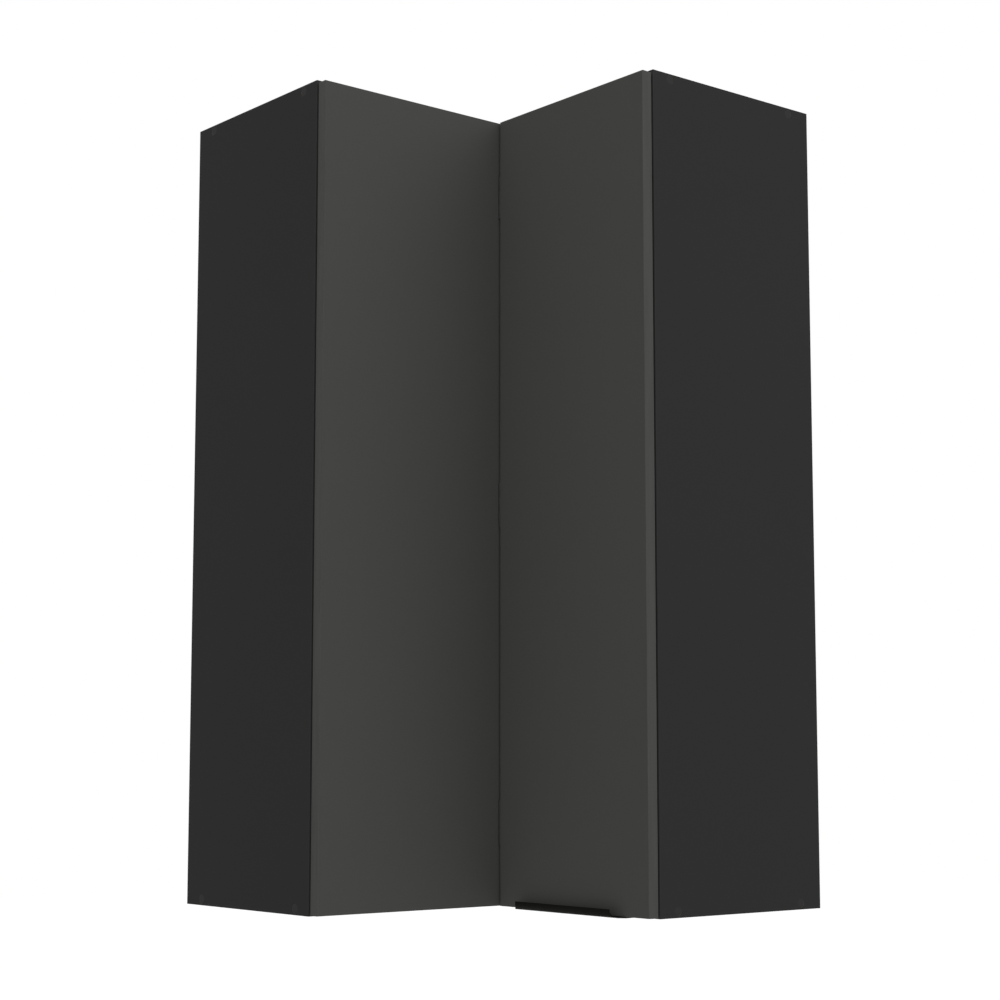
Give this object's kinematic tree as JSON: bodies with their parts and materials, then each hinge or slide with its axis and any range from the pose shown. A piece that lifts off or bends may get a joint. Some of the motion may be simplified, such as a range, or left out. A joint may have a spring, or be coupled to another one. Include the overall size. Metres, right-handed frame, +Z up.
{
  "type": "kitchen corner wall cabinet",
  "caption": "L-shaped corner wall cabinet with a folding pair of flat leaves, a slim edge handle, shelves and hidden wall hangers.",
  "frame": {"origin": "the wall corner, where the planes of the two backs meet, at the underside of the carcass", "axes": "+X along the right leg with its back on y = 0, -Y along the left leg with its back on x = 0, +Z up"},
  "size_m": [0.6, 0.6, 1.0755],
  "materials": {
    "leaf_board": "matt dark grey laminate",
    "carcass_board": "matt near-black laminate",
    "leaf_edge_band": "matt dark grey plastic band",
    "carcass_edge_band": "matt near-black plastic band",
    "back_sheet": "hardboard, raw brown outside",
    "handle_metal": "matt black powder coat",
    "cap_plastic": "matt",
    "dowel_wood": "raw beech",
    "bumper_rubber": "soft clear grey",
    "hanger_plastic": "light grey",
    "hook_steel": "zinc plated",
    "fixing_steel": "zinc plated",
    "fold_hinge_steel": "black",
    "hinge_steel": "nickel plated"
  },
  "bodies": {
    "carcass": {"back_nails": "fixing_steel", "bottom_panel": "carcass_board", "carcass_edge_bands": "carcass_edge_band", "confirmat_screws": "fixing_steel", "dowels": "dowel_wood", "hinge_arm_high": "hinge_steel", "hinge_arm_low": "hinge_steel", "hinge_arm_mid": "hinge_steel", "hinge_arm_screws": "fixing_steel", "hinge_plate_high": "hinge_steel", "hinge_plate_low": "hinge_steel", "hinge_plate_mid": "hinge_steel", "hinge_plate_screws": "fixing_steel", "hinge_root_pins": "hinge_steel", "leaf_bumpers": "bumper_rubber", "left_back_sheet": "back_sheet", "left_end_panel": "carcass_board", "left_hanger": "hanger_plastic", "left_hanger_screws": "fixing_steel", "rear_corner_post": "carcass_board", "right_back_sheet": "back_sheet", "right_end_panel": "carcass_board", "right_hanger": "hanger_plastic", "right_hanger_screws": "fixing_steel", "screw_caps": "cap_plastic", "shelf_edge_bands": "carcass_edge_band", "shelf_high": "carcass_board", "shelf_low": "carcass_board", "shelf_pins": "fixing_steel", "top_panel": "carcass_board"},
    "hinge_links": {"hinge_link_high": "hinge_steel", "hinge_link_low": "hinge_steel", "hinge_link_mid": "hinge_steel"},
    "right_door": {"right_leaf": "leaf_board", "right_leaf_edge_bands": "leaf_edge_band", "edge_handle": "handle_metal", "handle_screws": "fixing_steel", "fold_pins": "fold_hinge_steel", "fold_screws_right": "fixing_steel", "hinge_cup_pins": "hinge_steel", "hinge_cup_screws": "fixing_steel", "fold_flap_right_high": "fold_hinge_steel", "fold_flap_right_low": "fold_hinge_steel", "fold_flap_right_mid": "fold_hinge_steel", "hinge_cup_high": "hinge_steel", "hinge_cup_low": "hinge_steel", "hinge_cup_mid": "hinge_steel"},
    "left_door": {"left_leaf": "leaf_board", "left_leaf_edge_bands": "leaf_edge_band", "fold_screws_left": "fixing_steel", "fold_flap_left_high": "fold_hinge_steel", "fold_flap_left_low": "fold_hinge_steel", "fold_flap_left_mid": "fold_hinge_steel"},
    "right_hook": {"right_hook": "hook_steel"},
    "left_hook": {"left_hook": "hook_steel"}
  },
  "joints": [
    {"name": "hinge_link_swing", "type": "hinge", "parent": "carcass", "child": "hinge_links", "pos_m": [0.5577, -0.2713, 0], "axis": [0, 0, 1], "range_deg": [-34.6, 0]},
    {"name": "right_door_swing", "type": "hinge", "parent": "hinge_links", "child": "right_door", "pos_m": [0.5877, -0.2978, 0], "axis": [0, 0, 1], "range_deg": [0, 129.49]},
    {"name": "left_door_fold", "type": "hinge", "parent": "right_door", "child": "left_door", "pos_m": [0.3105, -0.307, 0], "axis": [0, 0, 1], "range_deg": [0, 60]},
    {"name": "right_hook_slide", "type": "slide", "parent": "carcass", "child": "right_hook", "axis": [0, 1, 0], "range_m": [0, 0.012]},
    {"name": "left_hook_slide", "type": "slide", "parent": "carcass", "child": "left_hook", "axis": [-1, 0, 0], "range_m": [0, 0.012]}
  ],
  "couplings": [
    {"joint": "hinge_link_swing", "follows": "right_door_swing", "ratio": -0.26632}
  ]
}
